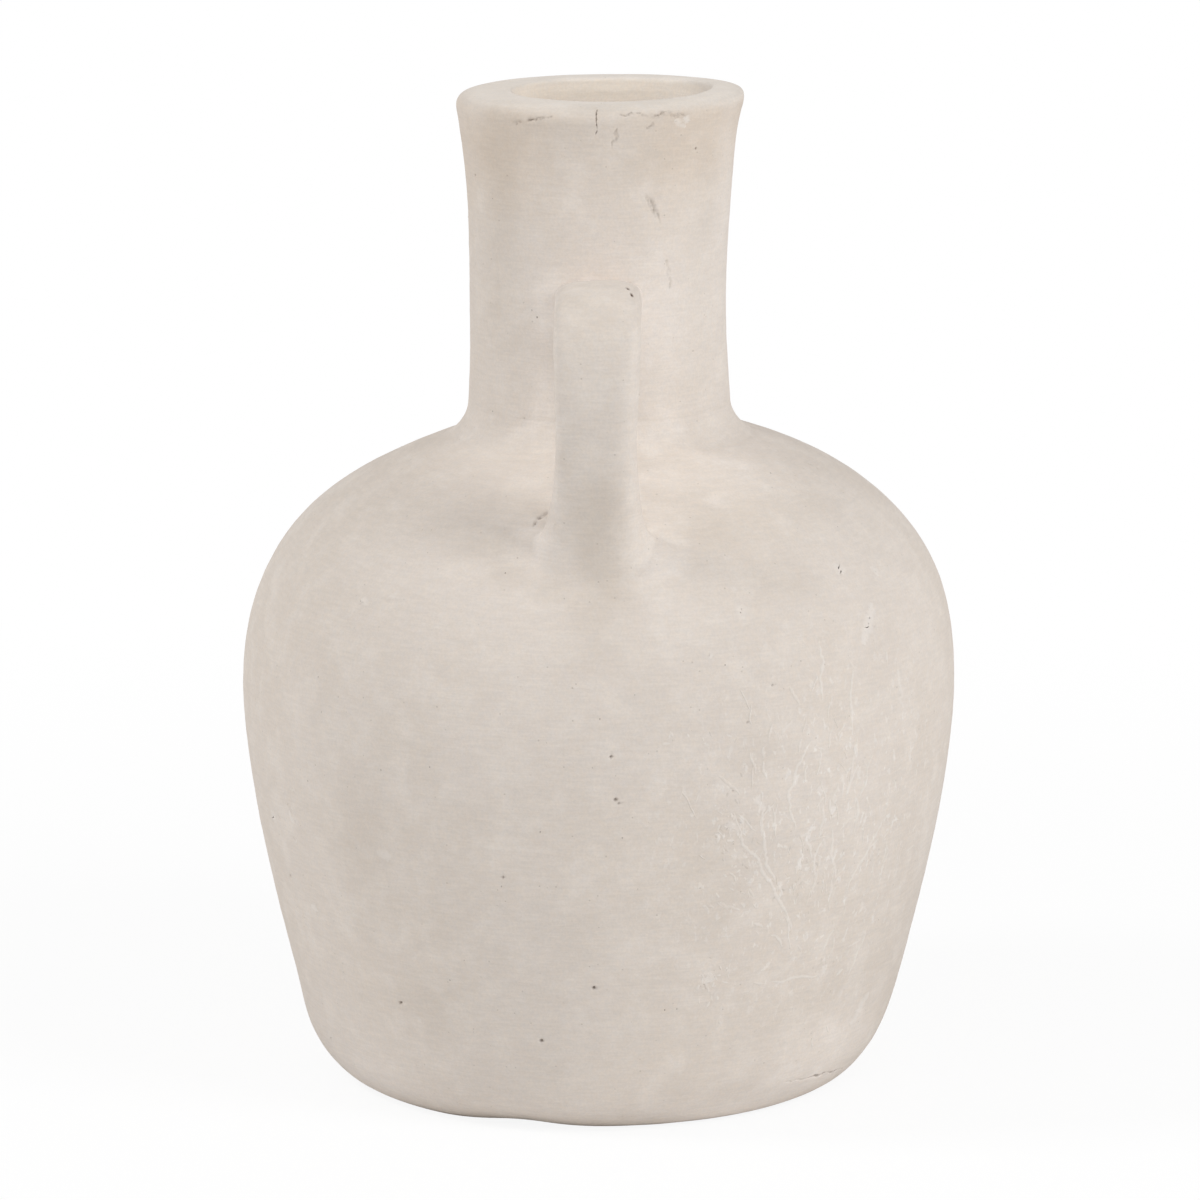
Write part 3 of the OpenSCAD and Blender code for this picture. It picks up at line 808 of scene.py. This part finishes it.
# Clouds that stand in for light and shade, with some real thickness of the wash: painted shadows, painted
# light and painted shade that even out the lamps; middle, reach across, deep and up, and how much paler the
# clay is there
washAndPaintedLight = [
    # Mouth: painted shade on the front of the lip, painted light and shade in the bore
    (0, -44, 319, 26, 8, 4.5, -0.12), (23, 20, 312, 15, 16, 14, 0.13), (-17, 22, 312, 15, 16, 14, -0.06),
    (18, -38, 320, 22, 14, 3, -0.05), (40, -14, 306, 8, 18, 14, 0.06), (14, -40, 300, 16, 10, 14, -0.04),
    # Neck: painted light where the strap's shadow falls and at the neck's base, darker down the left
    (0, -42, 270, 36, 16, 64, 0.06), (-21, -36, 219, 16, 14, 12, 0.05), (-18, -38, 240, 9, 12, 44, 0.06),
    (21, -36, 219, 16, 14, 12, 0.07), (20, -37, 244, 12, 14, 42, 0.07), (-32, -28, 274, 12, 18, 76, -0.09),
    (-41, -12, 262, 15, 28, 72, -0.08), (34, -26, 284, 10, 18, 40, -0.06), (0, -42, 269, 17, 8, 11, 0.05),
    (-22, -38, 296, 12, 12, 22, 0.04), (-17, -38, 226, 7, 10, 14, 0.06), (-16, -38, 253, 6, 8, 18, 0.06),
    (13, -42, 214, 9, 10, 8, 0.06), (13, -39, 239, 5, 8, 22, 0.05),
    # Strap: painted shade on the arm's top, painted light above and beside it, darker on its run
    (-7, -98, 266, 9, 10, 8, -0.06), (0, -90, 268, 22, 24, 12, -0.02), (0, -101, 248, 18, 14, 30, -0.03),
    (0, -99, 200, 15, 14, 26, -0.11), (17, -88, 196, 9, 14, 14, 0.08), (5, -106, 249, 8, 6, 12, 0.03),
    (11, -97, 206, 5, 10, 18, 0.05), (-13, -97, 205, 5, 10, 16, 0.05), (-8, -104, 222, 6, 6, 10, -0.03),
    # Foot of the strap: painted light beside it, darker below it
    (0, -104, 176, 20, 18, 16, -0.1), (0, -110, 156, 24, 18, 34, -0.06), (-26, -92, 181, 16, 14, 8, -0.09),
    (-21, -91, 189, 12, 14, 12, 0.09), (-17, -90, 191, 9, 14, 9, 0.05), (18, -94, 183, 9, 12, 8, 0.08),
    (0, -100, 184, 13, 10, 8, -0.06), (-21, -82, 192, 9, 9, 7, 0.12), (-15, -99, 177, 9, 8, 8, -0.09),
    (6, -100, 177, 8, 8, 8, -0.05), (-5, -98, 190, 7, 8, 8, -0.05), (21, -91, 189, 13, 14, 14, 0.13),
    # Shoulder: painted shadows of the strap on both sides, painted light round the neck's base
    (40, -78, 192, 28, 20, 9, -0.06), (-40, -70, 199, 34, 24, 8, -0.05), (-38, -84, 187, 26, 16, 7, -0.08),
    (56, -82, 178, 26, 18, 12, -0.05), (20, -60, 204, 18, 14, 9, 0.09), (20, -75, 197, 14, 12, 8, 0.06),
    (-48, -71, 191, 24, 16, 6, -0.05), (58, -14, 209, 22, 30, 9, 0.06), (-50, -26, 210, 32, 36, 16, 0.06),
    (50, -45, 208, 44, 38, 20, 0.12),
    # Belly: painted light and shade that even out the lamps across the belly
    (88, -66, 150, 18, 26, 30, -0.04), (58, -96, 98, 22, 20, 20, -0.03), (0, -112, 148, 14, 10, 12, 0.04),
    (54, -98, 126, 18, 16, 14, -0.03), (-84, -72, 135, 16, 20, 20, -0.03),
    (24, -110, 78, 26, 14, 12, -0.03), (-74, -84, 96, 22, 30, 50, -0.06),
    (46, -102, 130, 16, 18, 20, -0.05), (38, -104, 92, 24, 20, 42, -0.04),
    (108, -38, 110, 20, 30, 80, 0.03), (-28, -110, 92, 26, 20, 16, 0.03), (12, -112, 96, 40, 30, 46, 0.04),
    # Heel: painted light on the heel's underside, with some darker patches
    (30, -78, 5, 28, 20, 10, 0.14), (24, -84, 17, 10, 14, 10, -0.04), (72, -56, 12, 50, 50, 34, 0.19),
    (42, -72, 2, 30, 26, 8, 0.2), (6, -94, 14, 50, 30, 26, 0.05), (-70, -52, 6, 44, 44, 18, 0.12),
    (-16, -92, 20, 14, 20, 22, -0.05), (-54, -84, 40, 18, 20, 20, -0.04),
]


def linear(colour):  # from levels of the screen to light
    parts = [c / 255 for c in colour]
    return [p / 12.92 if p <= 0.04045 else ((p + 0.055) / 1.055) ** 2.4 for p in parts] + [1]


def addNode(tree, kind, inputs=None, **settings):
    made = tree.nodes.new("ShaderNode" + kind)
    for key, value in settings.items():
        setattr(made, key, value)
    for key, value in (inputs or {}).items():
        if isinstance(value, bpy.types.NodeSocket):
            tree.links.new(value, made.inputs[key])
        else:
            made.inputs[key].default_value = value
    return made


def moved(tree, place, sizes, middle=(0, 0, 0)):  # from a middle, in units of three sizes
    start = [-m / size for m, size in zip(middle, sizes)]
    return addNode(tree, "VectorMath", {0: place, 1: [1 / size for size in sizes], 2: start},
                   operation="MULTIPLY_ADD").outputs["Vector"]


def noise(tree, place, name):
    across, up, detail, roughness, distortion = fields[name]
    return addNode(tree, "TexNoise", {
        "Vector": moved(tree, place, (across, across, up)), "Scale": 1.0, "Detail": detail,
        "Roughness": roughness, "Distortion": distortion}).outputs["Fac"]


def ranged(tree, value, low, high, toLow=0.0, toHigh=1.0):
    return addNode(tree, "MapRange", {
        "Value": value, "From Min": low, "From Max": high, "To Min": toLow, "To Max": toHigh},
        interpolation_type="SMOOTHSTEP").outputs["Result"]


def ramp(tree, value, name):
    return ranged(tree, value, *ramps[name])


def maths(tree, operation, a, b=0.0, c=0.0):
    return addNode(tree, "Math", {0: a, 1: b, 2: c}, operation=operation).outputs[0]


def times(tree, product, *others):
    for value in others:
        product = maths(tree, "MULTIPLY", product, value)
    return product


def distance(tree, vector, start=(0, 0, 0)):
    return addNode(tree, "VectorMath", {0: vector, 1: start}, operation="DISTANCE").outputs["Value"]


def mixed(tree, factor, a, b, blend="MIX"):
    made = addNode(tree, "Mix", {0: factor, 6: a, 7: b}, data_type="RGBA", blend_type=blend)
    return made.outputs[2]


def tinted(tree, colour, name, share):  # towards one of the clay's colours
    return mixed(tree, share, colour, linear(clayLook[name]))


# Paleness from the clouds of wash and painted light and shade
def paledByWashAndLight(tree, place):
    paleness = 1.0
    for washAndLightCloud in washAndPaintedLight:
        near = ranged(tree, distance(tree, moved(tree, place, washAndLightCloud[3:6], washAndLightCloud[:3])), 1.0, 0.0)
        paleness = maths(tree, "MULTIPLY_ADD", near, washAndLightCloud[6], paleness)
    return paleness


def makeClay():
    material = bpy.data.materials.new("cream_clay")
    material.use_nodes = True
    tree = material.node_tree
    shader = tree.nodes["Principled BSDF"]
    place = addNode(tree, "TexCoord").outputs["Object"]
    place = addNode(tree, "VectorMath", {0: place, "Scale": 1 / mm}, operation="SCALE").outputs["Vector"]
    x, y, height = addNode(tree, "SeparateXYZ", {0: place}).outputs
    level = addNode(tree, "CombineXYZ", {0: x, 1: y}).outputs[0]
    # darkness carried on the pieces: dirt and painted shade in scars and pinholes, dark crumbs and iron
    # specks
    dirtAndShade = addNode(tree, "Attribute", attribute_name="dirtAndShade").outputs["Fac"]
    pale = addNode(tree, "Attribute", attribute_name="pale").outputs["Fac"]
    mottle, patch, brush, fleck, grit, hue, ragged = (noise(tree, place, name) for name in fields)
    limeField = ramp(tree, distance(tree, place, clayLook["limeMiddle"]), "limeReach")
    flecks = times(tree, ramp(tree, fleck, "flecked"), limeField)
    cells = addNode(tree, "TexVoronoi", {
        "Vector": moved(tree, place, 3 * [clayLook["pits"]]), "Scale": 1.0}).outputs
    rare = addNode(tree, "SeparateColor", {0: cells["Color"]}).outputs["Red"]
    # pits, darkened further down: painted shade in their hollows
    pit = times(tree, ramp(tree, cells["Distance"], "pitSize"), ramp(tree, rare, "pitRarity"))

    # Clay, wash and stains, painted light on the lip's top and in the bore, painted shade at the foot
    colour = tinted(tree, linear(clayLook["body"]), "warm", ramp(tree, mottle, "mottled"))
    colour = tinted(tree, colour, "wash", ramp(tree, patch, "washed"))
    rimStain = times(tree, ramp(tree, height, "rimStain"), ramp(tree, mottle, "rimMottled"),
                     ramp(tree, maths(tree, "ABSOLUTE", x), "rimSides"))
    # a real stain at the rim's sides, and darker towards the bottom: painted shade at the foot with a stain
    stainAndShade = maths(tree, "MAXIMUM", rimStain, ramp(tree, height, "footStainAndShade"))
    colour = tinted(tree, colour, "stainAndShade", stainAndShade)
    # painted light: the top of the lip is paler where it faces up
    colour = tinted(tree, colour, "lipTopPaintedLight", ramp(tree, height, "lipHeight"))
    # paler and warmer inside of the bore: partly its own colour, partly painted light where the lamps
    # barely reach
    leaning = distance(tree, level, (making["mouthShift"], 0, 0))
    boreTintAndLight = times(tree, ramp(tree, leaning, "boreRadius"), ramp(tree, height, "boreHeight"))
    colour = tinted(tree, colour, "inside", boreTintAndLight)
    # darker brown at the very bottom edge: painted contact shade with a stain
    colour = tinted(tree, colour, "foot", ramp(tree, height, "footEdgeStainAndShade"))
    colour = tinted(tree, colour, "chalk", times(tree, flecks, clayLook["fleckPale"]))

    # Brush marks, grit, and clouds of wash with painted light and shade, as shades of that colour
    tone = times(tree, ramp(tree, brush, "streaks"), ramp(tree, grit, "grains"))
    # painted light: the neck all round is made paler
    neck = times(tree, ramp(tree, height, "neckFrom"), ramp(tree, height, "neckTo"),
                 ramp(tree, distance(tree, level), "neckRadius"))
    washAndLightCloud = maths(tree, "MULTIPLY_ADD", neck, clayLook["neckPaintedLight"], paledByWashAndLight(tree, place))
    green, blue = (maths(tree, "MULTIPLY_ADD", washAndLightCloud, clayLook[share], 1 - clayLook[share])
                   for share in ("greenShare", "blueShare"))
    shade = addNode(tree, "CombineColor", {
        0: times(tree, tone, washAndLightCloud, ramp(tree, hue, "redness")), 1: times(tree, tone, green),
        2: times(tree, tone, ramp(tree, hue, "blueness"), blue)}).outputs[0]
    colour = mixed(tree, 1.0, colour, shade, "MULTIPLY")

    # Pits with painted shade in them, lime, and dirt with painted shade in the scars over it
    # painted shade in the pits
    colour = tinted(tree, colour, "sootAndShade", times(tree, pit, clayLook["pitDark"]))
    colour = tinted(tree, colour, "chalk", times(tree, pale, clayLook["limePale"]))
    # scars and pinholes darkened: dirt with painted shade in their hollows
    colour = tinted(tree, colour, "sootAndShade", times(tree, dirtAndShade, ramp(tree, ragged, "dirtAndShadeRagged")))
    tree.links.new(colour, shader.inputs["Base Color"])

    unevenness = maths(tree, "MULTIPLY_ADD", grit, 0.5, patch)
    tree.links.new(ramp(tree, unevenness, "roughness"), shader.inputs["Roughness"])
    shader.inputs["Specular IOR Level"].default_value = clayLook["specular"]
    relief = 0.0
    for field, rise in zip((brush, grit, flecks, patch, pit), clayLook["relief"]):
        relief = maths(tree, "MULTIPLY_ADD", field, rise, relief)
    bump = addNode(tree, "Bump", {"Strength": clayLook["bump"], "Distance": mm, "Height": relief})
    tree.links.new(bump.outputs["Normal"], shader.inputs["Normal"])
    return material


clay = makeClay()
for piece in clayPieces:
    piece.data.materials.append(clay)
print("clay on", len(clayPieces), "pieces")

# White table and sky, a soft lamp on each side and the photograph's camera, in metres
studio = {
    "cameraPlace": (0.00042, -1.95, 0.55), "cameraDown": 11.489, "lens": 184.637, "sensor": 36,
    "floorSize": 16, "floorWhite": 0.92, "floorRoughness": 0.9,
    "floorShown": (0.9, 1.0), "floorFade": (0.15, 0.75),   # share of white that shows, near and far
    "sky": 0.5,
    "lamps": [  # name, bearing from the handle's side to the right, height angle, width, watts
        ("right_lamp", 52, 34, 0.6, 13), ("left_lamp", -76, 42, 0.4, 10.8),
    ],
    "lampDistance": 1.7, "aim": (0, 0, 0.17),
}


def seenRay(tree):  # 1 where the camera sees the white, straight, mirrored or through glass
    path = addNode(tree, "LightPath")
    seen = maths(tree, "MAXIMUM", path.outputs["Is Camera Ray"], path.outputs["Is Glossy Ray"])
    return maths(tree, "MAXIMUM", seen, path.outputs["Is Transmission Ray"])


def makeStage():
    bpy.ops.mesh.primitive_grid_add(x_subdivisions=2, y_subdivisions=2, size=studio["floorSize"])
    floor = bpy.context.object
    floor.name = "studio_floor"
    material = bpy.data.materials.new("studio_white")
    material.use_nodes = True
    tree = material.node_tree
    shader = tree.nodes["Principled BSDF"]
    white = studio["floorWhite"]
    shader.inputs["Base Color"].default_value = (white, white, white, 1)
    shader.inputs["Roughness"].default_value = studio["floorRoughness"]
    glow = addNode(tree, "Emission")
    place = addNode(tree, "TexCoord").outputs["Object"]
    share = ranged(tree, distance(tree, place), *studio["floorFade"], *studio["floorShown"])
    shown = addNode(tree, "MixShader", {
        0: maths(tree, "MULTIPLY", seenRay(tree), share), 1: shader.outputs[0], 2: glow.outputs[0]})
    tree.links.new(shown.outputs[0], tree.nodes["Material Output"].inputs["Surface"])
    floor.data.materials.append(material)

    world = bpy.data.worlds.new("studio_sky")
    scene.world = world
    world.use_nodes = True
    tree = world.node_tree
    level = ranged(tree, seenRay(tree), 0, 1, studio["sky"], 1.0)
    tree.links.new(level, tree.nodes["Background"].inputs["Strength"])
    tree.nodes["Background"].inputs["Color"].default_value = (1, 1, 1, 1)


def makeLamps():
    for name, bearing, elevation, size, watts in studio["lamps"]:
        lamp = bpy.data.lights.new(name, "AREA")
        lamp.size = size
        lamp.energy = watts
        holder = linked(name, lamp)
        away, up = studio["lampDistance"] * direction(elevation)
        right, back = away * direction(bearing - 90)
        holder.location = np.array(studio["aim"]) + (right, back, up)
        holder.rotation_euler = (math.radians(90 - elevation), 0, math.radians(bearing))


def makeCamera():
    camera = bpy.data.cameras.new("photo_camera")
    camera.sensor_width = studio["sensor"]
    camera.lens = studio["lens"]
    holder = linked("photo_camera", camera)
    holder.location = studio["cameraPlace"]
    holder.rotation_euler = (math.radians(90 - studio["cameraDown"]), 0, 0)
    scene.camera = holder


makeStage()
makeLamps()
makeCamera()
scene.view_settings.view_transform = "Standard"
print("stage, lamps and camera set")
